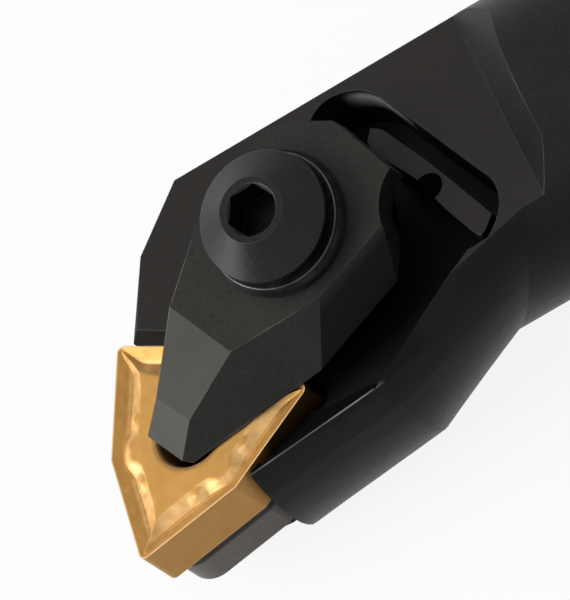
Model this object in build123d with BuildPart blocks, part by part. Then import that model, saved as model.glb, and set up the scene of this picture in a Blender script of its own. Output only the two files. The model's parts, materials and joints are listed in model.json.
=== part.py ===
"""Boring bar with a top-clamped trigon insert, built as its real pieces.

Frame: origin at the centre of the shank's rear face, +X along the shank towards the
cutting head, +Y to the side the cutting tip stands out on, +Z the rake side. All in mm.
"""

import math
import os

from build123d import *

os.makedirs("parts", exist_ok=True)

# Shank
SHANK_D = 16.0  # round shank, slides into a boring-bar sleeve
SHANK_R = SHANK_D / 2
NECK_R = SHANK_R - 0.06  # the neck narrows by a hair in front of the flats
LENGTH = 150.0  # rear face to cutting tip
FLAT_Z = 7.5  # half the width across the two clamping flats
FLAT_LENGTH = 108.0  # flats run from the rear face
GROUND_LENGTH = FLAT_LENGTH - 0.5  # ground to size
REAR_CHAMFER = 0.8
COOLANT_R = 2.5  # bore along the shank's axis
COOLANT_END = LENGTH - 29.0
OUTLET_R = 1.0  # drilling from the bore into the pocket
NOTCH_R = 0.85  # half-round recess in the rib

# Trigon insert
TIP_OFFSET = 11.5  # sharp corner from the shank's axis
IC = 9.525
INSERT_T = 3.18
NOSE_R = 0.4
HOLE_R = 1.905
HOLE_RIM_R = 2.2
LEAN_X = 6.0  # rake leans forward, degrees
LEAN_Y = 8.0  # rake leans to the tip's side, degrees
CORNER_R = IC * 0.7779  # centre to a sharp corner
OBTUSE_R = IC / 2 / math.sin(math.radians(80.0))  # centre to a blunt corner

# Shim
SHIM_T = 2.38
SHIM_INSET = 0.1
SHIM_NOSE_R = 1.7
SHIM_SCREW_R = 1.45
SHIM_THREAD_R = 1.5
SHIM_HEAD_R = 2.3

# Head
FACE_SETBACK = 7.5  # near wall's front face behind the tip
SEAT_INSET = 0.8  # platform under the shim, inside its outline
SHOULDER = 4.48  # height of the top flat over the axis
FLAT_LEAN = 0.087  # the flat falls towards the tip's side
RIB_W = 1.15  # land that the clamp's heel stands over
POCKET_DEPTH = 3.3  # pocket floor under the top flat

# Clamp, in its own frame: third axis along the screw, first along the bar
SCREW_LEAN_X = 0.044  # the screw's lean forward, and to the tip's side
SCREW_LEAN_Y = 0.334
CLAMP_X = LENGTH - 15.01
CLAMP_Y = 1.68
CLAMP_Z = 6.48
CLAMP_T = 3.0
CLAMP_GAP = 0.3
INSERT_GAP = 0.12
SCREW_R = 1.95
SCREW_THREAD_R = 2.0
SCREW_CLEAR_R = 2.25
SCREW_HOLE_DEPTH = 13.0
WASHER_R = 3.93
WASHER_TOP_R = 3.7
WASHER_T = 0.9
COLLAR_R = 3.0
HEAD_RIM_R = 3.56
HEAD_TOP_R = 1.8
HEAD_TOP = 3.4
HEX_AF = 2.5
HEX_R = HEX_AF / 2 / math.cos(math.radians(30.0))


def bar(x, y, z=0.0):
    """A point given from the sharp tip corner, as a point of the part."""
    return (LENGTH + x, y, z)


# Insert frame: x towards the sharp corner, z out of the rake face
tan_x = math.tan(math.radians(LEAN_X))
tan_y = math.tan(math.radians(LEAN_Y))
RAKE = Vector(tan_x, tan_y, 1.0).normalized()
NOSE_DIR = Vector(1.0, 1.0, -(RAKE.X + RAKE.Y) / RAKE.Z).normalized()
TIP = Vector(LENGTH, TIP_OFFSET, 0.0)
SEAT = TIP - NOSE_DIR * CORNER_R
insert_plane = Plane(origin=SEAT, x_dir=NOSE_DIR, z_dir=RAKE)
shim_plane = insert_plane.offset(-INSERT_T)
floor_plane = insert_plane.offset(-INSERT_T - SHIM_T)

# Clamp frame
SCREW_AXIS = Vector(SCREW_LEAN_X, SCREW_LEAN_Y, 0.941).normalized()
CLAMP_X_DIR = (Vector(1, 0, 0) - SCREW_AXIS * SCREW_AXIS.X).normalized()
CLAMP_AT = Vector(CLAMP_X, CLAMP_Y, CLAMP_Z)
clamp_plane = Plane(origin=CLAMP_AT, x_dir=CLAMP_X_DIR, z_dir=SCREW_AXIS)


def trigon(inset=0.0):
    """Corners of the trigon in the insert frame, pulled in by inset."""
    sharp = CORNER_R - inset / math.sin(math.radians(40.0))
    blunt = OBTUSE_R - inset / math.sin(math.radians(80.0))
    points = []
    for k in range(3):
        a = math.radians(120 * k)
        b = math.radians(120 * k + 60)
        points.append((sharp * math.cos(a), sharp * math.sin(a)))
        points.append((blunt * math.cos(b), blunt * math.sin(b)))
    return points


def sharp_corners(sketch):
    """The three sharp corners of a trigon sketch, farthest from its centre."""
    centre = sum((v.center() for v in sketch.vertices()), Vector(0, 0, 0)) / 6
    return sketch.vertices().sort_by(lambda v: (v.center() - centre).length)[3:]


def clamp_point(u, v, w):
    """A point of the clamp frame, as a point of the part."""
    return clamp_plane.from_local_coords(Vector(u, v, w))


def clamp_facet(at, normal):
    """A cutting plane of the clamp frame through at."""
    out = clamp_plane.from_local_coords(Vector(*normal)) - CLAMP_AT
    return Plane(origin=clamp_point(*at), z_dir=out)


# --- Shank and head -------------------------------------------------------------
flat_plane = Plane(origin=bar(0, 0, SHOULDER), z_dir=(0, FLAT_LEAN, 1.0))
ramp_plane = Plane(origin=bar(-23.97, 0, 0), z_dir=(1.0, 0.156, 0.864))
near_back = bar(-23.4, 7.6)
near_front = bar(-15.6, 11.2)

# everything over the top flat, in front of its ramp
with BuildPart() as flat_room:
    with BuildSketch(flat_plane):
        Rectangle(120.0, 60.0)
    extrude(amount=20.0)
    split(bisect_by=ramp_plane, keep=Keep.TOP)

# the head swells towards the tip's side, from a slanted start on the shank
SWELL_SLANT = 0.579
swell_plane = Plane(origin=bar(-25.2, 0, 0), x_dir=(-SWELL_SLANT, 0, 1.0), z_dir=(1.0, 0, SWELL_SLANT))
swell_r = NECK_R - 0.02
with BuildPart() as lobe:
    with BuildSketch(swell_plane):
        Ellipse(swell_r * math.sqrt(1 + SWELL_SLANT**2), swell_r)
    with BuildSketch(Plane(origin=bar(-16.2, 0, 0), x_dir=(0, 1, 0), z_dir=(1, 0, 0))):
        with Locations((2.05, -0.25)):
            Circle(8.85)
    loft(ruled=True)
    with BuildSketch(Plane(origin=bar(-16.2, 0, 0), x_dir=(0, 1, 0), z_dir=(1, 0, 0))):
        with Locations((2.05, -0.25)):
            Circle(8.85)
    with BuildSketch(Plane(origin=bar(-FACE_SETBACK, 0, 0), x_dir=(0, 1, 0), z_dir=(1, 0, 0))):
        with Locations((1.9, -0.9)):
            Circle(9.35)
    loft(ruled=True)
    extrude(lobe.faces().sort_by(Axis.X)[-1], amount=FACE_SETBACK)

with BuildPart() as rib:
    with BuildSketch(flat_plane.offset(-8.0)) as rib_sketch:
        with BuildLine():
            Polyline(
                flat_plane.to_local_coords(Vector(*bar(-20.99, -2.56, SHOULDER))),
                flat_plane.to_local_coords(Vector(*bar(-20.58, -1.91, SHOULDER))),
                flat_plane.to_local_coords(Vector(*bar(-20.59, -1.18, SHOULDER))),
                flat_plane.to_local_coords(Vector(*bar(-21.32, 0.16, SHOULDER))),
                flat_plane.to_local_coords(Vector(*bar(-22.28, 1.84, SHOULDER))),
                flat_plane.to_local_coords(Vector(*bar(-23.16, 4.47, SHOULDER))),
                flat_plane.to_local_coords(Vector(*bar(-24.07, 6.60, SHOULDER))),
                flat_plane.to_local_coords(Vector(*bar(-24.42, 7.28, SHOULDER))),
                flat_plane.to_local_coords(Vector(*bar(-24.80, 7.05, SHOULDER))),
                flat_plane.to_local_coords(Vector(*bar(-25.42, 6.35, SHOULDER))),
                flat_plane.to_local_coords(Vector(*bar(-24.35, 3.82, SHOULDER))),
                flat_plane.to_local_coords(Vector(*bar(-23.13, 1.09, SHOULDER))),
                flat_plane.to_local_coords(Vector(*bar(-21.56, -2.08, SHOULDER))),
                close=True,
            )
        make_face()
    extrude(amount=12.0)

with BuildPart() as pocket:
    with BuildSketch(Plane.XY.offset(-2.0)) as pocket_sketch:
        with BuildLine():
            far_end = Spline(
                bar(-18.15, -5.05)[:2],
                bar(-19.26, -5.62)[:2],
                bar(-20.46, -5.45)[:2],
                bar(-21.60, -4.70)[:2],
                bar(-22.20, -3.74)[:2],
            )
            near_end = Spline(
                bar(-25.72, 3.56)[:2],
                bar(-26.14, 4.72)[:2],
                bar(-26.06, 5.80)[:2],
                bar(-25.43, 6.92)[:2],
                bar(-24.75, 7.54)[:2],
            )
            Line(far_end @ 1, near_end @ 0)
            Polyline(
                near_end @ 1,
                bar(-24.30, 9.00)[:2],
                bar(-15.60, 13.50)[:2],
                bar(-15.60, 10.00)[:2],
                bar(-12.00, 9.20)[:2],
                bar(-9.50, 4.50)[:2],
                bar(-10.50, 2.50)[:2],
                far_end @ 0,
            )
        make_face()
    extrude(amount=14.0)
    # floor along the top flat, near wall sloping in
    split(bisect_by=flat_plane.offset(-POCKET_DEPTH), keep=Keep.TOP)
    split(bisect_by=Plane(origin=bar(-23.3, 7.7, 3.8), z_dir=(0.439, -0.746, 0.5)), keep=Keep.TOP)
    # shallower near end, round the rib
    with BuildSketch(Plane.XY.offset(1.7)):
        with BuildLine():
            near_round = Spline(
                bar(-25.72, 3.56)[:2],
                bar(-26.14, 4.72)[:2],
                bar(-26.06, 5.80)[:2],
                bar(-25.43, 6.92)[:2],
                bar(-24.75, 7.54)[:2],
            )
            Polyline(
                near_round @ 1,
                bar(-23.90, 7.60)[:2],
                bar(-23.30, 7.55)[:2],
                bar(-22.60, 4.00)[:2],
                near_round @ 0,
            )
        make_face()
    extrude(amount=10.0)
    # solid boss round the clamp screw
    with BuildSketch(clamp_plane.offset(-16.0)):
        Circle(4.6)
    extrude(amount=16.0 - CLAMP_T, mode=Mode.SUBTRACT)
    add(rib.part, mode=Mode.SUBTRACT)

with BuildPart() as clamp_room:
    with BuildSketch(clamp_plane.offset(-CLAMP_T - 0.15)) as clamp_room_sketch:
        Polygon(
            (-5.35, -3.65),
            (-2.95, -5.15),
            (-1.4, -5.35),
            (3.7, -3.25),
            (7.45, 0.45),
            (10.6, 4.05),
            (13.5, 6.0),
            (13.5, 6.6),
            (-5.35, 6.6),
            align=None,
        )
    extrude(amount=12.0)

with BuildPart() as seat_room:
    with BuildSketch(floor_plane) as seat_sketch:
        Polygon(*trigon(), align=None)
        # a gap along the near wall, and free space in front of the insert
        Polygon((-3.7, 6.4), (2.4, 4.2), (7.4, 0.0), (7.4, 2.0), (2.5, 4.5), (-3.6, 6.72), align=None)
        Polygon((7.4, 0.0), (2.4, -4.2), (-3.7, -6.4), (-1.0, -14.0), (14.0, -8.0), (14.0, 4.0), align=None)
        with Locations((-3.45, 6.0), (-3.45, -6.0)):
            Circle(0.9)
    extrude(amount=16.0)

with BuildPart() as front_room:
    with BuildSketch(Plane.XY.offset(-20.0)) as front_sketch:
        Polygon(
            bar(-FACE_SETBACK, 14.0)[:2],
            bar(-FACE_SETBACK, 7.6)[:2],
            bar(-6.3, 7.7)[:2],
            bar(-2.9, 7.3)[:2],
            bar(-2.7, 4.0)[:2],
            bar(-4.0, -0.05)[:2],
            bar(-14.0, -10.2)[:2],
            bar(12.0, -10.2)[:2],
            bar(12.0, 14.0)[:2],
            align=None,
        )
    extrude(amount=40.0)

with BuildPart() as bar_body:
    with BuildSketch(Plane.YZ):
        Circle(SHANK_R)
    extrude(amount=GROUND_LENGTH)
    with BuildSketch(Plane.XY):
        Polygon(
            (GROUND_LENGTH, 0),
            (LENGTH - 9.0, 0),
            (LENGTH - 9.0, NECK_R),
            (GROUND_LENGTH, SHANK_R),
            align=None,
        )
    revolve(axis=Axis.X)
    chamfer(bar_body.faces().sort_by(Axis.X)[0].edges(), length=REAR_CHAMFER)
    add(lobe.part)
    # clamping flats: the upper one ends short of the head, the lower one runs under it
    with BuildSketch(Plane(origin=(0, 0, FLAT_Z), x_dir=(1, 0, 0), z_dir=(0, 0, 1))):
        with Locations((FLAT_LENGTH / 2 - 1, 0)):
            Rectangle(FLAT_LENGTH + 2, SHANK_D)
    extrude(amount=3.0, mode=Mode.SUBTRACT)
    with BuildSketch(Plane(origin=(0, 0, -FLAT_Z - 3.0), x_dir=(1, 0, 0), z_dir=(0, 0, 1))):
        with Locations((LENGTH / 2, 0)):
            Rectangle(LENGTH + 10.0, 30.0)
    extrude(amount=3.0, mode=Mode.SUBTRACT)
    add(flat_room.part, mode=Mode.SUBTRACT)
    add(front_room.part, mode=Mode.SUBTRACT)
    # bevel at the head's far front corner
    with BuildSketch(Plane(origin=bar(-4.0, -0.05, 2.04), z_dir=(0.793, -0.263, 0.549))):
        Rectangle(40.0, 40.0)
    extrude(amount=10.0, mode=Mode.SUBTRACT)
    add(seat_room.part, mode=Mode.SUBTRACT)
    add(clamp_room.part, mode=Mode.SUBTRACT)
    add(pocket.part, mode=Mode.SUBTRACT)
    # chip gullet, rising to the rear with the rake face
    with BuildSketch(Plane(origin=bar(-15.6, 8.6, 4.58), x_dir=(0, 1, 0), z_dir=(1, 0, -tan_x))):
        Circle(3.6)
    extrude(amount=24.0, mode=Mode.SUBTRACT)
    # clamp screw thread hole
    with BuildSketch(clamp_plane.offset(-SCREW_HOLE_DEPTH)):
        Circle(SCREW_THREAD_R)
    extrude(amount=SCREW_HOLE_DEPTH, mode=Mode.SUBTRACT)
    # shim screw hole, right through
    with BuildSketch(floor_plane.offset(-8.0)):
        Circle(SHIM_THREAD_R)
    extrude(amount=10.0, mode=Mode.SUBTRACT)
    # coolant bore and its slanted outlet
    with BuildSketch(Plane.YZ):
        Circle(COOLANT_R)
    extrude(amount=COOLANT_END, mode=Mode.SUBTRACT)
    with BuildSketch(Plane(origin=(COOLANT_END - 0.5, 0.6, 1.2), x_dir=(0, 1, 0), z_dir=(1, 0, 0))):
        Circle(OUTLET_R)
    extrude(amount=4.5, mode=Mode.SUBTRACT)
    with BuildSketch(flat_plane.offset(-POCKET_DEPTH + 0.1)):
        with Locations(flat_plane.to_local_coords(Vector(*bar(-22.72, 2.75, SHOULDER)))):
            Circle(NOTCH_R)
    extrude(amount=6.0, mode=Mode.SUBTRACT)
bar_body.part.label = "bar_body"
export_step(bar_body.part, "parts/bar_body.step")

# --- Insert ------------------------------------------------------------------------
with BuildPart() as insert:
    with BuildSketch(insert_plane.offset(-INSERT_T)) as insert_sketch:
        Polygon(*trigon(), align=None)
        fillet(sharp_corners(insert_sketch), radius=NOSE_R)
    extrude(amount=INSERT_T)
    with BuildSketch(insert_plane.offset(-INSERT_T)):
        Circle(HOLE_R)
    extrude(amount=INSERT_T, mode=Mode.SUBTRACT)
    chamfer(insert.edges().filter_by(GeomType.CIRCLE).filter_by(lambda e: abs(e.radius - HOLE_R) < 0.01),
            length=HOLE_RIM_R - HOLE_R)
insert.part.label = "insert"
export_step(insert.part, "parts/insert.step")

# --- Shim ----------------------------------------------------------------------------
with BuildPart() as shim:
    with BuildSketch(floor_plane) as shim_sketch:
        Polygon(*trigon(SHIM_INSET), align=None)
        fillet(sharp_corners(shim_sketch), radius=SHIM_NOSE_R)
    extrude(amount=SHIM_T)
    with BuildSketch(floor_plane):
        Circle(SHIM_SCREW_R + 0.25)
    extrude(amount=SHIM_T, mode=Mode.SUBTRACT)
    with BuildSketch(shim_plane):
        Circle(SHIM_HEAD_R + 0.1)
    with BuildSketch(shim_plane.offset(-(SHIM_HEAD_R - SHIM_SCREW_R))):
        Circle(SHIM_SCREW_R + 0.25)
    loft(mode=Mode.SUBTRACT)
shim.part.label = "shim"
export_step(shim.part, "parts/shim.step")

# --- Shim screw ------------------------------------------------------------------------
head_drop = SHIM_HEAD_R - SHIM_SCREW_R
with BuildPart() as shim_screw:
    with BuildSketch(floor_plane.offset(-2.4)):
        Circle(SHIM_SCREW_R)
    extrude(amount=2.4 + SHIM_T - head_drop)
    with BuildSketch(shim_plane.offset(-0.15 - head_drop)):
        Circle(SHIM_SCREW_R)
    with BuildSketch(shim_plane.offset(-0.15)):
        Circle(SHIM_HEAD_R - 0.1)
    loft()
    with BuildSketch(shim_plane.offset(-1.4)):
        RegularPolygon(1.0 / math.cos(math.radians(30.0)), 6)
    extrude(amount=1.4, mode=Mode.SUBTRACT)
shim_screw.part.label = "shim_screw"
export_step(shim_screw.part, "parts/shim_screw.step")

# --- Clamp -----------------------------------------------------------------------------
with BuildPart() as clamp:
    with BuildSketch(clamp_plane.offset(-4.4)) as clamp_sketch:
        with BuildLine():
            Polyline((-5.08, 3.19), (-4.0, 5.5), (2.3, 8.6), (10.33, 8.6), (11.89, 5.52), (10.36, 4.35), (7.2, 0.8))
            Polyline((7.2, 0.8), (3.5, -2.9), (-1.5, -4.95), (-2.8, -4.75), (-5.1, -3.4), (-6.8, 0.6))
            ThreePointArc((-6.8, 0.6), (-5.55, 1.75), (-5.08, 3.19))
        make_face()
    extrude(amount=4.4)
    # underside: flat over the body, following the rake face over the insert
    split(bisect_by=clamp_plane.offset(-CLAMP_T), keep=Keep.TOP)
    split(bisect_by=insert_plane.offset(INSERT_GAP), keep=Keep.TOP)
    # two nose facets, the near bevel and the near rear facet
    split(bisect_by=clamp_facet((7.2, 0.8, 0), (0.24, 0.118, 0.964)), keep=Keep.BOTTOM)
    split(bisect_by=clamp_facet((9.2, 6.39, -1.19), (0.392, 0.206, 0.897)), keep=Keep.BOTTOM)
    split(bisect_by=clamp_facet((11.89, 5.52, -2.17), (0.63, 0.32, -0.71)), keep=Keep.BOTTOM)
    split(bisect_by=clamp_facet((0, 4.8, 0), (0, 0.596, 0.803)), keep=Keep.BOTTOM)
    split(bisect_by=clamp_facet((-0.4, 4.8, 0), (-0.26, 0.70, 0.665)), keep=Keep.BOTTOM)
    # heel undercut over the rib
    with BuildSketch(clamp_plane.offset(-6.0)):
        with Locations((-8.0, 0)):
            Rectangle(6.0, 14.0)
    extrude(amount=6.0 - 1.8, mode=Mode.SUBTRACT)
    with BuildSketch(clamp_plane.offset(-8.0)):
        Circle(SCREW_CLEAR_R)
    extrude(amount=10.0, mode=Mode.SUBTRACT)
    # claw that drops into the insert's hole
    with BuildSketch(insert_plane.offset(-0.9)):
        with Locations((-0.3, 0.0)):
            Circle(1.1)
    extrude(amount=1.6)
clamp.part.label = "clamp"
export_step(clamp.part, "parts/clamp.step")

# --- Clamp washer ------------------------------------------------------------------------
screw_line = Axis(origin=CLAMP_AT, direction=SCREW_AXIS)
side_plane = Plane(origin=CLAMP_AT, x_dir=CLAMP_X_DIR, z_dir=CLAMP_X_DIR.cross(SCREW_AXIS))
with BuildPart() as clamp_washer:
    with BuildSketch(side_plane):
        Polygon(
            (SCREW_CLEAR_R, 0),
            (WASHER_R, 0),
            (WASHER_R, 0.35),
            (WASHER_TOP_R, WASHER_T),
            (SCREW_CLEAR_R, WASHER_T),
            align=None,
        )
    revolve(axis=screw_line)
clamp_washer.part.label = "clamp_washer"
export_step(clamp_washer.part, "parts/clamp_washer.step")

# --- Clamp screw ---------------------------------------------------------------------------
with BuildPart() as clamp_screw:
    with BuildSketch(side_plane):
        Polygon(
            (0, -11.4),
            (SCREW_R - 0.5, -11.4),
            (SCREW_R, -10.9),
            (SCREW_R, WASHER_T + 0.02),
            (COLLAR_R, WASHER_T + 0.02),
            (COLLAR_R, 1.6),
            (HEAD_RIM_R, 1.72),
            (HEAD_RIM_R, 1.95),
            (HEAD_TOP_R, HEAD_TOP),
            (HEX_R, HEAD_TOP),
            (HEX_AF / 2, HEAD_TOP - (HEX_R - HEX_AF / 2)),
            (0, HEAD_TOP - (HEX_R - HEX_AF / 2)),
            align=None,
        )
    revolve(axis=screw_line)
    with BuildSketch(clamp_plane.offset(HEAD_TOP - 2.0)):
        RegularPolygon(HEX_R, 6)
    extrude(amount=3.0, mode=Mode.SUBTRACT)
clamp_screw.part.label = "clamp_screw"
export_step(clamp_screw.part, "parts/clamp_screw.step")
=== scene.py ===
# %% [markdown]
# A boring bar cuts the inside of a hole. A round steel shank goes into a sleeve, and
# its head carries a trigon insert on a shim, held down by a clamp with a leaning screw.
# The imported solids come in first, as a fixed frame that everything here is fitted to.

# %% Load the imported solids
import json
import math
import bpy
import numpy as np
from mathutils import Matrix, Vector

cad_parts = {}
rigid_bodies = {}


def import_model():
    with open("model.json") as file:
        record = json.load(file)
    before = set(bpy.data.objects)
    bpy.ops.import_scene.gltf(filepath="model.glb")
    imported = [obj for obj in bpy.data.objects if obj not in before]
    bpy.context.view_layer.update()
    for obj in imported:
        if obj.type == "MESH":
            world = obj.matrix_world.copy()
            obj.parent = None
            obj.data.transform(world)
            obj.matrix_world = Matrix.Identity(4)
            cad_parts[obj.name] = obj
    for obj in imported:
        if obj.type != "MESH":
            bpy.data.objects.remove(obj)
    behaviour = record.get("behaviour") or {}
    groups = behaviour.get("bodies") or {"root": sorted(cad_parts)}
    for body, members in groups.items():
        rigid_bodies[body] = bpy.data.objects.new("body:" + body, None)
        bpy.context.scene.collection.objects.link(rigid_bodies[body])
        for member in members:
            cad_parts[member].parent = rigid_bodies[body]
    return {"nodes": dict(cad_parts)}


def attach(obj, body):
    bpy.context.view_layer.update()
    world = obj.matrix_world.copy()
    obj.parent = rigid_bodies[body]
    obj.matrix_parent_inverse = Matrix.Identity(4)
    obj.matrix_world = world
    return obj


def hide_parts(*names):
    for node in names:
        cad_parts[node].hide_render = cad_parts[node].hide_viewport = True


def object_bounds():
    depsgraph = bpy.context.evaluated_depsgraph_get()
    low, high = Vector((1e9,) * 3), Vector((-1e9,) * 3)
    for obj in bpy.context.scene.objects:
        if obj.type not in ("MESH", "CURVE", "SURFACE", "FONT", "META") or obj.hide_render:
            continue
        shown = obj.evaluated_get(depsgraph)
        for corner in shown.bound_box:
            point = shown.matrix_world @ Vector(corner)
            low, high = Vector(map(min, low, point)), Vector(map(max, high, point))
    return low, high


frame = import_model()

MM = 0.001
IN_MM = 1.0 / MM
LENGTH = 150.0
cad_box = [list(map(float, corner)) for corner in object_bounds()]
print("solids:", sorted(frame["nodes"]))

# %% [markdown]
# The camera comes first, because every later choice is judged through it. The bar is
# seen from above and from the tip's side, from far away with a long lens, so the two
# sides of the shank look parallel. A camera can be turned by three angles, but here it
# is placed by three arrows, to its right, up, and back towards itself, because arrows
# are easy to measure: they show how much of each axis of the part is seen.

# %% Camera
TARGET = Vector((LENGTH - 11.48, -1.39, -2.18)) * MM
RIGHT = Vector((-0.8426, 0.2437, -0.4803))
UP = Vector((-0.4931, -0.7075, 0.5062))
BACK = Vector((-0.2164, 0.6633, 0.7163))
FAR_MM = 1000.0
PIXELS_PER_MM = 19.01
FRAME_HEIGHT = 600
SENSOR_MM = 36.0

camera_data = bpy.data.cameras.new("camera")
camera_data.sensor_width = SENSOR_MM
camera_data.lens = SENSOR_MM * FAR_MM * PIXELS_PER_MM / FRAME_HEIGHT
camera_data.clip_start = 0.01
camera = bpy.data.objects.new("camera", camera_data)
bpy.context.scene.collection.objects.link(camera)
place = Matrix((RIGHT, UP, BACK)).transposed().to_4x4()
place.translation = TARGET + BACK.normalized() * FAR_MM * MM
camera.matrix_world = place
bpy.context.scene.camera = camera
bpy.context.scene.view_settings.view_transform = "Standard"
print("camera:", FAR_MM, "mm away, lens", round(camera_data.lens), "mm")


# %% [markdown]
# A finish is a small program made of nodes, and it reads best as arithmetic. A Wire is
# one output of a node. Adding or multiplying wires lays down Math nodes, from either
# side, so 1 - mask works as well as mask - 1. Nodes could be dragged together by hand,
# but written out they can be read, repeated and changed in one place.

# %% Wires: node outputs with the usual operators
class Wire:
    """One node output, and the arithmetic that makes new ones from it."""

    def __init__(self, owner, socket):
        self.owner, self.socket = owner, socket

    def _math(self, operation, a, b):
        return self.owner.node("ShaderNodeMath", {"operation": operation}, {0: a, 1: b})

    def __add__(self, other):
        return self._math("ADD", self, other)

    def __sub__(self, other):
        return self._math("SUBTRACT", self, other)

    def __rsub__(self, other):
        return self._math("SUBTRACT", other, self)

    def __mul__(self, other):
        return self._math("MULTIPLY", self, other)

    __radd__ = __add__
    __rmul__ = __mul__

    def __abs__(self):
        return self._math("ABSOLUTE", self, 0.0)

    def sine(self):
        return self._math("SINE", self, 0.0)

    def most(self, other):
        """The larger of the two values."""
        return self._math("MAXIMUM", self, other)

    def under(self, level):
        """1 where the value is under the level, 0 elsewhere."""
        return self._math("LESS_THAN", self, level)

    def clamp(self):
        """The value held between 0 and 1."""
        return self.owner.node("ShaderNodeClamp", {}, {"Value": self}, "Result")

    def ramp(self, gain, start=0.0):
        """The value times a gain, plus a start, held between 0 and 1."""
        return (self * gain + start).clamp()

    def out(self, name):
        """Another output of the same node."""
        return Wire(self.owner, self.socket.node.outputs[name])


print("wires: +, -, *, abs, most, under, clamp, ramp, sine")


# %% [markdown]
# Every node is made by one method, whatever its type, so that settings and sockets are
# always given in the same way. A Finish is a material round one Principled shader. It
# keeps a colour that is painted over in layers: first the metal, then wear, then
# painted shade and light.

# %% Node trees and finishes
class Nodes:
    """A node tree, with the one method that makes nodes in it."""

    def __init__(self, tree):
        self.tree = tree

    def node(self, kind, settings, inputs, output=0):
        """Makes a node, sets its settings and then its sockets, to values or wires, and
        gives one of its outputs."""
        made = self.tree.nodes.new(kind)
        for key, value in settings.items():
            setattr(made, key, value)
        for key, value in inputs.items():
            if isinstance(value, Wire):
                self.tree.links.new(value.socket, made.inputs[key])
            else:
                made.inputs[key].default_value = value
        return Wire(self, made.outputs[output])

    def vector_math(self, operation, a, b, output=0):
        """A Vector Math node on a wire and a wire or three numbers."""
        return self.node("ShaderNodeVectorMath", {"operation": operation},
                         {0: a, 1: b}, output)


class Finish(Nodes):
    """A material with one Principled shader and a first colour. Constants go straight
    on the shader's sockets."""

    def __init__(self, name, colour, **constants):
        self.material = bpy.data.materials.new(name)
        self.material.use_nodes = True
        super().__init__(self.material.node_tree)
        self.shader = self.tree.nodes["Principled BSDF"]
        self.colour = colour
        for socket, value in constants.items():
            self.shader.inputs[socket.replace("_", " ")].default_value = value
        self.here = self.node("ShaderNodeTexCoord", {}, {}, "Object")

    def noise(self, scale, detail):
        """Cloudy noise on the piece's own coordinates, with some clouds to the metre."""
        return self.node("ShaderNodeTexNoise", {},
                         {"Vector": self.here, "Scale": scale, "Detail": detail})

    def paint(self, factor, colour):
        """Lays a colour over the one there, fully where the factor is 1."""
        self.colour = self.node("ShaderNodeMix", {"data_type": "RGBA"},
                                {"Factor": factor, 6: self.colour, 7: colour}, 2)

    def feed(self, **wires):
        """Joins wires to the shader's sockets."""
        for socket, wire in wires.items():
            self.tree.links.new(wire.socket, self.shader.inputs[socket.replace("_", " ")])

    def bump(self, height, strength, distance_mm, round_mm=0.08):
        """Fine relief, on edges that are rounded by a hair."""
        soft = self.node("ShaderNodeBevel", {"samples": 6}, {"Radius": round_mm * MM})
        self.feed(Normal=self.node("ShaderNodeBump", {}, {
            "Height": height, "Strength": strength, "Distance": distance_mm * MM,
            "Normal": soft}))


def rgba(r, g, b):
    """A colour as it looks on a screen, 0 to 255, made linear for the shader: a power
    curve, and a straight line near black."""
    lin = [((c / 255 + 0.055) / 1.055) ** 2.4 if c > 10 else c / 255 / 12.92
           for c in (r, g, b)]
    return (*lin, 1.0)


print("mid grey 128 is", round(rgba(128, 128, 128)[0], 3), "to the shader")

# %% [markdown]
# Wear and painted shade depend on the shape: rubbed steel shines on edges, and
# recesses are darkened with painted shade. Such masks could be painted by hand on the
# piece, but a formula follows the shape when it changes, and is sharp at any size. Each
# mask below is 1 where it applies and 0 elsewhere.

# %% Masks from the shape


def edge(finish, width_mm):
    """Edges, outer and inner alike: how far a rounded normal turns from the flat one."""
    soft = finish.node("ShaderNodeBevel", {"samples": 6}, {"Radius": width_mm * MM})
    flat = finish.node("ShaderNodeNewGeometry", {}, {}, "Normal")
    return ((1.0 - finish.vector_math("DOT_PRODUCT", soft, flat, "Value")) * 6.0).clamp()


def recess(finish, reach_mm, start, gain):
    """Deep places: how far the open sky that a point sees falls below a start."""
    sky = finish.node("ShaderNodeAmbientOcclusion", {"samples": 8},
                      {"Distance": reach_mm * MM}, "AO")
    return ((start - sky) * gain).clamp()


def facing(finish, way, spread=0.02):
    """Faces that look in a direction, from the cosine of the angle between. The mask is
    0 where the cosine is short of 1 by two spreads or more."""
    normal = finish.node("ShaderNodeTexCoord", {}, {}, "Normal")
    match = finish.vector_math("DOT_PRODUCT", normal, tuple(way), "Value")
    return ((match - (1.0 - 2.0 * spread)) * (1.0 / spread)).clamp()


def within(distance, limit, gain):
    """Where a distance is under its limit, by what is left of it times a gain."""
    return ((limit - distance) * gain).clamp()


print("masks from the shape: edge, recess, facing, within")

# %% [markdown]
# Other marks belong to a place of the part, such as the gullet. A place is given by a
# point, a plane or an axis, in millimetres of the part's own frame. Every piece keeps
# its object at the origin, so its own coordinates are the part's coordinates.

# %% Masks and distances from a place


def from_point(finish, point):
    """The arrow from a point of the part, in mm, to the shaded point."""
    return finish.vector_math("SUBTRACT", finish.here, tuple(c * MM for c in point))


def near(finish, point, radius_mm, gain=3.0):
    """1 round a point, 0 past the radius: the share of the radius left, times a gain."""
    at = tuple(c * MM for c in point)
    reach = finish.vector_math("DISTANCE", finish.here, at, "Value")
    return ((radius_mm * MM - reach) * (gain / (radius_mm * MM))).clamp()


def over(finish, point, way):
    """Height in mm over a plane through a point, square to a direction."""
    return finish.vector_math("DOT_PRODUCT", from_point(finish, point), tuple(way),
                              "Value") * IN_MM


def off_axis(finish, point, way):
    """Distance in mm from an axis: the length of the arrow crossed with the axis."""
    across = finish.vector_math("CROSS_PRODUCT", from_point(finish, point), tuple(way))
    return finish.node("ShaderNodeVectorMath", {"operation": "LENGTH"},
                       {0: across}, "Value") * IN_MM


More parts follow.
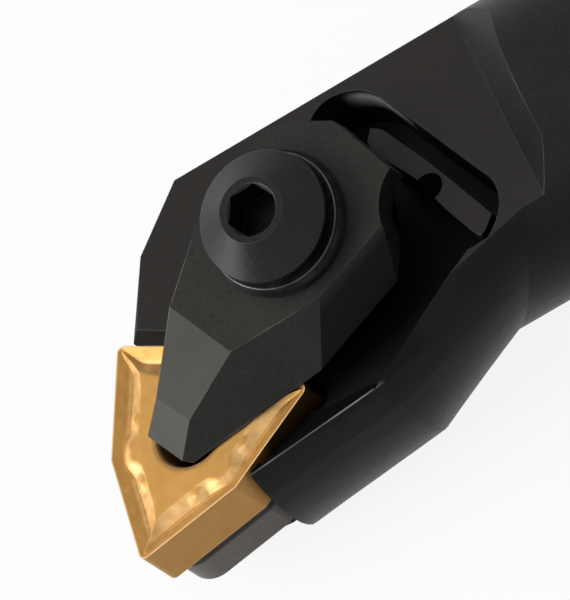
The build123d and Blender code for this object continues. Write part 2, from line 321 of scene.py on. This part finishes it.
def specks(finish, per_metre, size, share):
    """Small round spots: the middles of a random share of the cells of a pattern."""
    middle = finish.node("ShaderNodeTexVoronoi", {"voronoi_dimensions": "3D"},
                         {"Vector": finish.here, "Scale": per_metre}, "Distance")
    pick = finish.node("ShaderNodeSeparateColor", {}, {"Color": middle.out("Color")})
    return middle.under(size) * pick.under(share)


print("masks from a place: near, over, off_axis, specks")

# %% [markdown]
# All the dark pieces are alloy steel, hardened and blackened: a dark grey, a little
# lighter where it is rubbed, and painted almost black where shade falls in hollows. One
# flat grey would look like plastic, so the steel has broad clouds and fine grain in its
# colour, and the same grain in its roughness and its relief.

# %% One function for every steel
# The near-black below is painted shade: it is laid where shade falls, in hollows, under
# parts and on faces turned away from the lamps.
PAINTED_SHADE = rgba(9, 12, 13)
RUBBED = rgba(132, 130, 127)
SHEEN = 0.2
STEEL_METAL = 0.6
CLOUDS_PER_M = 260.0
GRAINS_PER_M = 5200.0


def steel(name, dark, light, rough, metal=STEEL_METAL, rubbed=0.3):
    """A steel from a dark tone to a light one, with rubbed edges. The finish also keeps
    its grain's roughness and the patches where it is worn, for later steps."""
    finish = Finish(name, dark, Metallic=metal, Specular_IOR_Level=SHEEN)
    cloud = finish.noise(CLOUDS_PER_M, 4.0)
    grain = finish.noise(GRAINS_PER_M, 3.0)
    finish.paint(((cloud * 0.45 + grain * 0.55 - 0.30) * 2.6).clamp(), light)
    finish.patchy = ((cloud - 0.38) * 5.0).clamp()
    finish.paint(edge(finish, 0.07) * finish.patchy * rubbed, RUBBED)
    finish.rough = grain * 0.22 + (rough - 0.11)
    finish.feed(Roughness=finish.rough)
    finish.bump(grain, 0.10, 0.02)
    return finish


def dress(name, finish):
    """Joins the painted colour to the shader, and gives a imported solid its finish."""
    finish.feed(Base_Color=finish.colour)
    for slot in bpy.data.objects[name].material_slots:
        slot.material = finish.material
    print("finish:", name, "with", len(finish.tree.nodes), "nodes")


body = steel("body_steel", rgba(25, 26, 26), rgba(36, 37, 37), 0.46)
print("body steel:", len(body.tree.nodes), "nodes")

# %% [markdown]
# The body is shank and head in one. Its milled flat is a warmer brown, and painted shade
# darkens the side that looks down, the pocket, the slot behind the rib, and the gullet, a
# round cut that lets chips out. Light alone can't make these hollows black enough in a
# white room, so they are darkened by place, from just under the flat down.

# %% The body: milled flat and painted shade in the hollows
FLAT_AT, FLAT_WAY = (LENGTH, 0.0, 4.48), Vector((0.0, 0.0867, 0.9962))
DOWN_SIDE = (0.0, 0.8, -0.6)
MILLED_BROWN = rgba(52, 47, 43)
POCKET_AT = (LENGTH - 19.0, 2.5, 2.0)
SLOT_AT = (LENGTH - 22.8, 0.8, 3.0)
SLOT_SLOPE = (0.439, -0.746, 0.5)
GULLET_AT, GULLET_WAY = (LENGTH - 15.6, 8.6, 4.58), Vector((0.9945, 0.0, -0.1045))
GULLET_R, GULLET_BACK = 3.72, 4.0

over_flat = over(body, FLAT_AT, FLAT_WAY)
under_flat = over_flat.ramp(-2.5, -0.25)
milled = within(abs(over_flat), 0.05, 60.0) * facing(body, FLAT_WAY)
body.paint(milled * 0.5, MILLED_BROWN)
# Painted shade on the side that looks down.
body.paint(facing(body, DOWN_SIDE, spread=0.35) * 0.65, PAINTED_SHADE)

# The masks from here to the paint below are painted shade: pocket, slot, gullet and
# recesses.
in_pocket = near(body, POCKET_AT, 9.0, gain=4.2)
deep = recess(body, 7.0, 0.95, 3.0) * in_pocket
slope = facing(body, SLOT_SLOPE) * in_pocket
sunk = deep.most(near(body, SLOT_AT, 8.4) * 0.92).most(slope * 0.92) * under_flat
gullet = within(off_axis(body, GULLET_AT, GULLET_WAY), GULLET_R, 12.0)
gullet = gullet * over(body, GULLET_AT, (1.0, 0.0, 0.0)).ramp(1.0, GULLET_BACK)
hollow_shade = sunk.most(gullet * 0.85).most(recess(body, 3.0, 0.55, 2.0))
print("body: flat, pocket, slot and gullet, now", len(body.tree.nodes), "nodes")

# %% [markdown]
# Two walls hold the insert's sides. Both are darkened inside with painted shade, and the
# one behind it is dull as well, or it would mirror the gold. The near wall's top edge has
# a bright line, rubbed steel with a painted highlight, the slot's rim gets a painted streak
# of light, and a few specks of steel shine through. A line along an edge is the distance
# from an axis laid on it, and broken up by the worn patches.

# %% The body: painted shade on the seat walls, bright edges, painted light and specks
WALL_AT, WALL_WAY = (LENGTH - 7.5, 11.04, 1.07), Vector((-0.9966, -0.0406, 0.0714))
WALL_MIDDLE = (LENGTH - 11.0, 10.9, 1.3)
WALL_INSIDE = (LENGTH - 11.5, 9.6, 0.8)
INWARD = (0.0, -0.8, 0.6)
SEAT_WALL_AT = (LENGTH - 5.6, 1.2, 3.6)
SLOT_RIM_AT = (LENGTH - 22.1, -4.1, 4.2)
RIM_PAINTED_LIGHT = rgba(190, 188, 194)
BARE_STEEL_AND_GLINT = rgba(160, 160, 160)

# Painted shade inside the two seat walls.
wall_inside = over(body, WALL_AT, INWARD).ramp(6.0) * near(body, WALL_INSIDE, 5.5)
seat_wall = near(body, SEAT_WALL_AT, 3.8, gain=7.2) * over_flat.ramp(-14.0, -0.3)
body.paint(hollow_shade.most(seat_wall * 0.8).most(wall_inside * 0.8), PAINTED_SHADE)

# A painted streak of light on the slot's far rim.
lit_streak = near(body, SLOT_RIM_AT, 2.6) * over_flat.ramp(1.0, 1.7) * under_flat
body.paint(lit_streak * 0.8, RIM_PAINTED_LIGHT)
# A bright line on the near wall's top edge: rubbed steel with a painted highlight.
rubbed = within(off_axis(body, WALL_AT, WALL_WAY), 0.11, 16.0) * (body.patchy * 0.7 + 0.2)
rubbed = rubbed * near(body, WALL_MIDDLE, 5.4)
body.paint((rubbed * 0.8).most(specks(body, 420.0, 0.045, 0.05)), BARE_STEEL_AND_GLINT)
body.feed(Roughness=body.rough.most(seat_wall * 0.95),
          Metallic=seat_wall * -STEEL_METAL + STEEL_METAL)
dress("bar_body", body)

# %% [markdown]
# The clamp is a faceted steel claw that presses the insert into its seat. Its facets
# could be told apart by light alone, but the facet over the gullet hangs in the pocket's
# shade and is darkened downwards with painted shade, by its depth under the screw's seat.
# The near bevel and the recesses get a little painted shade too. The ridge in the middle
# is where tools and thumbs rub it.

# %% The clamp
CLAMP_AT, SCREW_WAY = (LENGTH - 15.01, 1.68, 6.48), Vector((0.04402, 0.33417, 0.94148))
GULLET_FACET = (-0.23, 0.886, 0.403)
NEAR_BEVEL = (0.035, 0.83, 0.557)
RIDGE_AT = (LENGTH - 8.8, 4.8, 5.3)
RIDGE_LIGHT = rgba(150, 148, 146)

clamp = steel("clamp_steel", rgba(36, 36, 34), rgba(50, 49, 46), 0.42)
facet = facing(clamp, GULLET_FACET) * over(clamp, CLAMP_AT, SCREW_WAY).ramp(-1.5, 0.25)
# Painted shade on the near bevel, on the facet over the gullet and in recesses.
clamp.paint(facing(clamp, NEAR_BEVEL) * 0.2, PAINTED_SHADE)
clamp.paint((facet * 0.95).most(recess(clamp, 2.0, 0.6, 2.0)), PAINTED_SHADE)
ridge = edge(clamp, 0.12) * near(clamp, RIDGE_AT, 7.0) * clamp.patchy
clamp.paint(ridge * 0.5, RIDGE_LIGHT)
dress("clamp", clamp)

# %% [markdown]
# The clamp's screw is turned, smoother and more metallic than the rest. Inside its hex
# socket it is black. That could be left to the shadow, but the lamps here are broad and
# would light the socket's floor, so a cylinder round the axis is painted dark down to it,
# as painted shade, and so are the screw's recesses. The shim's hidden screw is made the
# same way.

# %% The two screws
SOCKET_R, SOCKET_TOP = 1.36, 3.38

screw = steel("screw_steel", rgba(29, 30, 30), rgba(42, 43, 43), 0.34, metal=0.75)
socket = within(off_axis(screw, CLAMP_AT, SCREW_WAY), SOCKET_R, 12.0)
socket = socket * within(over(screw, CLAMP_AT, SCREW_WAY), SOCKET_TOP, 4.0)
# Painted shade in the recesses and down the socket.
screw.paint(recess(screw, 2.0, 0.75, 2.0).most(socket * 0.9), PAINTED_SHADE)
dress("clamp_screw", screw)
dress("shim_screw", screw)

# %% [markdown]
# The washer under the screw's head is turned too, and the screw rubs round on it, so it
# shows faint grooves. One bright ring on its step is a painted highlight, broken up by the
# worn patches. They could be cut into the mesh, but they are too fine to see as shape. A
# ring is a distance from the axis, and grooves are the sine of that distance.

# %% The washer
RING_R, RING_HALF_WIDTH = 3.68, 0.06
GROOVES = 40.0  # radians of the sine to the millimetre
RING_HIGHLIGHT, GROOVE_LIGHT = rgba(120, 120, 118), rgba(110, 112, 112)

washer = steel("washer_steel", rgba(24, 25, 26), rgba(36, 37, 38), 0.34)
from_axis = off_axis(washer, CLAMP_AT, SCREW_WAY)
# A painted highlight: a thin bright ring on the step.
ring_highlight = within(abs(from_axis - RING_R), RING_HALF_WIDTH, 20.0)
washer.paint(ring_highlight * (washer.patchy * 0.5 + 0.15), RING_HIGHLIGHT)
turned = ((from_axis * GROOVES).sine() * 0.5 + 0.5) * 0.25
washer.paint(turned * (washer.noise(900.0, 3.0) - 0.45).clamp() * 4.0, GROOVE_LIGHT)
dress("clamp_washer", washer)

# %% [markdown]
# The shim is ground carbide, lighter and greyer than steel. It carries the insert and
# takes the load off the body. Just under its top face it is painted black, as the painted
# shadow of the insert's edge that hangs over it. The seat leans by 6 degrees one way and 8
# the other, and its square-to arrow is used again for the insert.

# %% The shim


def unit(*v):
    """The arrow divided by its own length."""
    return np.array(v) / np.linalg.norm(v)


TILT_X, TILT_Y = math.tan(math.radians(6.0)), math.tan(math.radians(8.0))
RAKE_WAY = unit(TILT_X, TILT_Y, 1.0)
SHIM_AT = (LENGTH - 6.02, 5.40, -1.86)

shim = steel("shim_carbide", rgba(80, 77, 73), rgba(98, 94, 89), 0.48, rubbed=0.15)
# Painted shadow of the insert, just under the shim's top face.
shim.paint(over(shim, SHIM_AT, RAKE_WAY).ramp(6.0, 2.4) * 0.85, PAINTED_SHADE)
dress("shim", shim)
print("the rake face looks along", RAKE_WAY.round(4).tolist())

# %% [markdown]
# The insert is pressed and sintered carbide with a gold coloured coating. Its rake face
# isn't flat: behind each cutting edge a groove bends the chip, then a ramp rises to the
# flat middle round the hole. The ramps of two edges meet in a thin ridge that runs out
# to each nose. Both faces are the same, because the insert is turned over when worn.
# It could be sculpted, but all of it depends on two distances only: how far a point
# lies in from the outline, and how far along the edge from the nearest nose.

# %% Insert: two distances
INSCRIBED_R = 4.7625
EDGE_ANGLE = math.radians(50.0)  # from a nose to the square of its edge
SHARP_R = INSCRIBED_R / math.cos(EDGE_ANGLE)
NOSE_R = 0.4
NOSE_AT = SHARP_R - NOSE_R / math.cos(EDGE_ANGLE)
INSERT_T = 3.18
RIM_R = 2.3
HOLE_R = 1.905
THIRD = 2.0 * math.pi / 3.0


def from_nose_angle(angle):
    """An angle made an angle from the nearest of the three noses."""
    return (angle + THIRD / 2) % THIRD - THIRD / 2


def about_nose(x, y):
    """The same points turned and mirrored, so that the nearest nose is on the x axis."""
    angle, far = from_nose_angle(np.arctan2(y, x)), np.hypot(x, y)
    return far * np.cos(angle), far * np.abs(np.sin(angle))


def from_outline(x, y):
    """Distance in from the outline: from the straight edge, or from the nose's arc."""
    u, v = about_nose(x, y)
    straight = INSCRIBED_R - (u * math.cos(EDGE_ANGLE) + v * math.sin(EDGE_ANGLE))
    round_nose = NOSE_R - np.hypot(u - NOSE_AT, v)
    in_arc = (u > NOSE_AT) & (v < (u - NOSE_AT) * math.tan(EDGE_ANGLE))
    return np.where(in_arc, round_nose, straight)


def from_nose(x, y):
    """Distance along the edge from the sharp corner that it starts at."""
    u, v = about_nose(x, y)
    return (SHARP_R - u) * math.sin(EDGE_ANGLE) + v * math.cos(EDGE_ANGLE)


print("insert: corner at", round(SHARP_R, 3), "mm, nose arc centred at", round(NOSE_AT, 3))

# %% [markdown]
# The relief is a height over the flat middle, worked out from those two distances. The
# groove is a slope down, the ramp a slope up, and the surface is whichever is higher,
# with a small rounding where they meet. Low bumps on the ramp break up long chips. The
# height could come from a Displace modifier, but numbers keep the edge exactly sharp.

# %% Insert: the chip breaker's height
LAND = 0.08  # narrow flat along the cutting edge
EDGE_DROP = 0.03
WIDEST_FOOT = 0.9
GROOVE_DIMPLES = ((1.7, 0.42), (3.1, 0.48), (4.4, 0.46))
RAMP_BUMPS = ((4.4, 1.22, 0.40), (5.8, 1.08, 0.55))


def ease(t):
    """0 to 1 with a soft start and end."""
    t = np.clip(t, 0.0, 1.0)
    return t * t * (3.0 - 2.0 * t)


def softest(a, b, blend, sign):
    """The larger (sign 1) or smaller (sign -1) of two heights, with a rounded change:
    half their sum, plus or minus half their distance, which is never quite zero."""
    return (a + b + sign * np.sqrt((a - b) ** 2 + blend**2)) / 2


def hump(along, inward, at, deep, size, height):
    """A blunt bump, a cone that is longer along the edge, at a place given from the
    nose and from the edge."""
    away = np.hypot((along - at) / 1.6, inward - deep) / size
    return height * np.clip(1.0 - away, 0.0, 1.0)


def relief(inward, along):
    """Height over the flat middle: a slope down from the land to the groove, then the
    ramp up, whichever is higher, and never over the middle. Groove and ramp are narrow
    at the nose and wide along the edge, and pulled in again at the blunt corner."""
    foot = 0.15 + 0.75 * ease(along / 1.9) - 0.28 * ease((along - 4.9) / 1.4)
    width = 0.26 + 0.50 * ease(along / 3.0)
    depth = 0.40 * foot / WIDEST_FOOT + 0.03
    slope = -EDGE_DROP - (depth - EDGE_DROP) * (inward - LAND) / (foot - LAND)
    ramp = -depth * (foot + width - inward) / width
    height = softest(np.minimum(slope, -EDGE_DROP), ramp, 0.03, 1)
    height = softest(height, 0.0, 0.02, -1)
    for at, deep in GROOVE_DIMPLES:
        height = height + hump(along, inward, at, deep, 0.26, 0.035)
    for at, deep, size in RAMP_BUMPS:
        height = height + hump(along, inward, at, deep, size, 0.13)
    return np.minimum(height, 0.0)


deepest = relief(np.linspace(0.0, 2.0, 200), np.full(200, 2.5)).min()
print("chip breaker:", round(-deepest, 3), "mm deep at 2.5 mm from the nose")

# %% [markdown]
# The rake face is laid out as rings that grow from the hole's rim to the outline, with
# more points where the outline bends round a nose. A grid of squares would leave steps
# along the edge. Rings follow it, so the cutting edge is one clean line of points.

# %% Insert: both faces
STEPS_OUT = 84
PER_THIRD = 160
EDGE_LIFT = 0.10  # the lower edge hangs clear of the shim


def outline_r(theta):
    """Distance from the hole's centre to the outline, straight on the edges and on an
    arc round each nose."""
    angle = np.abs(from_nose_angle(theta))
    straight = INSCRIBED_R / np.cos(angle - EDGE_ANGLE)
    under = np.clip(NOSE_R**2 - (NOSE_AT * np.sin(angle))**2, 0.0, None)
    nose = NOSE_AT * np.cos(angle) + np.sqrt(under)
    touch = math.atan2(NOSE_R * math.sin(EDGE_ANGLE),
                       NOSE_AT + NOSE_R * math.cos(EDGE_ANGLE))
    return np.where(angle < touch, nose, straight)


side = np.linspace(-1.0, 1.0, PER_THIRD, endpoint=False)
turn = np.sign(side) * np.abs(side) ** 1.5 * THIRD / 2
theta = np.concatenate([turn + k * THIRD for k in range(3)])
reach = outline_r(theta)
r = RIM_R + (reach - RIM_R) * np.linspace(0.0, 1.0, STEPS_OUT)[:, None]
x, y = r * np.cos(theta), r * np.sin(theta)
edge_mm = from_outline(x, y)
z = relief(edge_mm, from_nose(x, y))
lift = EDGE_LIFT * (1.0 - ease(edge_mm / WIDEST_FOOT))
top = list(np.stack([x, y, z, edge_mm], -1))
under = list(np.stack([x, y, lift - INSERT_T - z, edge_mm], -1)[::-1])
print("insert faces:", STEPS_OUT, "rings, lowest", round(float(z.min()), 3), "mm")

# %% [markdown]
# Two more sets of rings close the skin: the hole's rounded rim and wall, and the flank,
# which is square to the seat on this kind of insert. Each point also carries its
# distance from the edge, which the coating will use. Bevel modifiers could round the
# rims, but a few rings cost fewer points.

# %% Insert: flank, rims and the closed skin
RIM_STEPS = ((HOLE_R, -0.36), (1.95, -0.20), (2.04, -0.09), (2.16, -0.02))
FLANK_STEPS = ((-0.05, 0.03), (-0.12, 0.2), (0.24 - INSERT_T, 0.2), (0.15 - INSERT_T, 0.03))
FAR_IN = 1.0  # marks the rims as far from any edge


def ring(radius, height, inward):
    """One closed row round the insert, at a radius and a height."""
    wide = np.broadcast_to(radius, theta.shape)
    return np.stack([wide * np.cos(theta), wide * np.sin(theta),
                     np.full_like(theta, height), np.full_like(theta, inward)], -1)


upper = [ring(radius, height, FAR_IN) for radius, height in RIM_STEPS]
flank = [ring(reach, height, inward) for height, inward in FLANK_STEPS]
lower = [ring(radius, -INSERT_T - height, FAR_IN) for radius, height in reversed(RIM_STEPS)]
skin = np.array(upper + top + flank + under + lower)
print("insert skin:", skin.shape[0], "rows of", skin.shape[1], "points")

# %% [markdown]
# The coating is a thin gold ceramic: half metal to look at, cloudy and a little rough.
# Three places differ, and each is painted by its distance from the edge or the way it
# faces. The honed cutting edge gets a painted highlight, a bright line, the ramps get
# painted light, and the flank is darkened with painted shade, as are the recesses. Beside
# the near wall the flank is in a deep gap and painted almost black, as painted shade.

# %% The gold coating
FLANK_GAP_AT = (LENGTH - 11.4, 8.4, 0.3)
HONED_MM = 0.10
RAMP_FROM_MM = 0.62
DARK_GOLD, LIGHT_GOLD = rgba(178, 130, 64), rgba(208, 162, 94)
HONED_HIGHLIGHT_GOLD, LIT_RAMP_GOLD = rgba(238, 202, 152), rgba(250, 208, 150)
SHADED_GOLD, SHADED_FLANK_GOLD, GAP_SHADE_BROWN = rgba(84, 52, 24), rgba(112, 80, 36), rgba(26, 18, 12)

gold = Finish("insert_coating", DARK_GOLD, Metallic=0.5, Specular_IOR_Level=SHEEN)
grain = gold.noise(1800.0, 4.0)
cloud = gold.noise(420.0, 3.0)
gold.paint((grain * 0.6 + cloud * 0.8 - 0.35).clamp(), LIGHT_GOLD)

to_edge = gold.node("ShaderNodeAttribute", {"attribute_name": "edge_mm"}, {}, "Fac")
upward = facing(gold, RAKE_WAY, spread=0.5)
steep = 1.0 - facing(gold, RAKE_WAY, spread=0.05)
# Painted highlight along the honed cutting edge.
gold.paint(within(to_edge, HONED_MM, 20.0) * 0.75, HONED_HIGHLIGHT_GOLD)
# Painted light on the ramps.
on_ramp = steep * ((to_edge - RAMP_FROM_MM) * 6.0).clamp() * upward
gold.paint(on_ramp * grain.ramp(0.9, -0.05), LIT_RAMP_GOLD)
# Painted shade in the recesses.
gold.paint(recess(gold, 1.6, 0.6, 1.6), SHADED_GOLD)

# Painted shade on the flank.
gold.paint((1.0 - upward) * 0.35, SHADED_FLANK_GOLD)
# Painted shade on the flank in the deep gap beside the near wall.
in_gap = (1.0 - upward) * near(gold, FLANK_GAP_AT, 3.6, gain=4.8)
gold.paint(in_gap * 0.85, GAP_SHADE_BROWN)
gold.feed(Base_Color=gold.colour, Roughness=grain * 0.2 + 0.38)
gold.bump(grain * 0.6 + cloud * 0.4, 0.25, 0.03, 0.03)
print("gold coating:", len(gold.tree.nodes), "nodes")

# %% [markdown]
# Last, the skin is turned into its seat. Its first axis points to the working nose, its
# third is the rake direction, and the sharp corner lies on the tip of the bar. The
# object could be turned instead, but the frame wants objects at the origin, so the
# points are moved. The pressed insert then takes the place of the plain solid one.

# %% Insert: set in its seat
TIP = np.array([LENGTH, 11.5, 0.0])
CREASE = math.radians(32.0)


def as_mesh(name, points, finish):
    """A grid of points, in mm, joined into four-sided faces and closed both ways round:
    each point is joined to the next in its row and in the next row."""
    index = np.arange(points.shape[0] * points.shape[1]).reshape(points.shape[:2])
    after = np.roll(index, -1, 0)
    faces = np.stack([index, after, np.roll(after, -1, 1), np.roll(index, -1, 1)], -1)
    faces = faces.reshape(-1, 4)
    mesh = bpy.data.meshes.new(name)
    mesh.from_pydata((points.reshape(-1, 3) * MM).tolist(), [], faces.tolist())
    mesh.polygons.foreach_set("use_smooth", np.ones(len(faces), bool))
    mesh.set_sharp_from_angle(angle=CREASE)
    mesh.materials.append(finish.material)
    item = bpy.data.objects.new(name, mesh)
    bpy.context.scene.collection.objects.link(item)
    print(name, "has", 2 * len(faces), "triangles")
    return item


nose_way = unit(1.0, 1.0, -(TILT_X + TILT_Y))
seat = TIP - nose_way * SHARP_R
axes = np.stack([nose_way, np.cross(RAKE_WAY, nose_way), RAKE_WAY])
insert = as_mesh("insert_pressed", skin[..., :3] @ axes + seat, gold)
insert.data.attributes.new("edge_mm", "FLOAT", "POINT").data.foreach_set(
    "value", skin[..., 3].ravel().astype(np.float32))
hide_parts("insert")
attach(insert, "bar")
print("insert seated with its hole's centre at", seat.round(2).tolist())

# %% [markdown]
# The bar lies on a pale floor in a soft white room. A white floor under a lamp goes grey
# away from it, so most of what the camera sees of it is plain white, and the rest is
# white paint that takes the shadow. The Light Path node tells which rays come from the
# camera or a reflection: those see plain white, and the light itself stays soft.

# %% Floor and room
FLOOR_HALF = 3.0
PURE_WHITE = (1.0, 1.0, 1.0, 1.0)
PAPER = (0.9, 0.9, 0.9, 1.0)
ROOM_LIGHT = 0.45
FLOOR_SHARE, ROOM_SHARE = 0.88, 1.0


def seen_white(nodes, plain, kind, end, share):
    """Mixes plain white into what camera, glossy and transmission rays see of a surface,
    by a share, and joins the mix to the tree's output."""
    camera_ray = nodes.node("ShaderNodeLightPath", {}, {}, "Is Camera Ray")
    seen = camera_ray.most(camera_ray.out("Is Glossy Ray"))
    seen = seen.most(camera_ray.out("Is Transmission Ray")) * share
    white = nodes.node(kind, {}, {"Color": PURE_WHITE, "Strength": 1.0})
    mixed = nodes.node("ShaderNodeMixShader", {},
                       {0: seen, 1: Wire(nodes, plain.outputs[0]), 2: white})
    nodes.tree.links.new(mixed.socket, end.inputs["Surface"])


low = min(corner[2] for corner in cad_box)
corners = np.array([(-1, -1), (1, -1), (1, 1), (-1, 1)]) * FLOOR_HALF
floor_mesh = bpy.data.meshes.new("floor")
floor_mesh.from_pydata([(a, b, low) for a, b in corners.tolist()], [], [(0, 1, 2, 3)])
floor = bpy.data.objects.new("floor", floor_mesh)
bpy.context.scene.collection.objects.link(floor)
paper = Finish("floor_white", PAPER, Base_Color=PAPER, Roughness=0.9)
floor_mesh.materials.append(paper.material)
seen_white(paper, paper.shader, "ShaderNodeEmission",
           paper.tree.nodes["Material Output"], FLOOR_SHARE)

world = bpy.data.worlds.new("room")
bpy.context.scene.world = world
world.use_nodes = True
room = world.node_tree.nodes["Background"]
room.inputs["Color"].default_value = PURE_WHITE
room.inputs["Strength"].default_value = ROOM_LIGHT
seen_white(Nodes(world.node_tree), room, "ShaderNodeBackground",
           world.node_tree.nodes["World Output"], ROOM_SHARE)
print("floor at", round(low * IN_MM, 2), "mm, room light", ROOM_LIGHT)

# %% [markdown]
# Blackened steel shows its shape only where a lamp is mirrored in it. One broad lamp
# ahead of the bar lights the bevels that face forward, and a weaker one, low down,
# lights the front of the head. Small lamps would draw hard spots on the facets.

# %% Lamps
LAMP_FAR = 0.40


def lamp(name, toward, size, power):
    """A square soft lamp in a direction from the bar's head, turned to face it."""
    way = Vector(toward).normalized()
    data = bpy.data.lights.new(name, "AREA")
    data.energy, data.size = power, size
    item = bpy.data.objects.new(name, data)
    item.location = TARGET + way * LAMP_FAR
    item.rotation_euler = way.to_track_quat("Z", "Y").to_euler()
    bpy.context.scene.collection.objects.link(item)
    print("lamp:", name, power, "W,", size, "m wide")


lamp("key", (0.84, 0.06, 0.50), 0.34, 1.75)
lamp("low", (0.88, 0.08, 0.12), 0.16, 0.3)
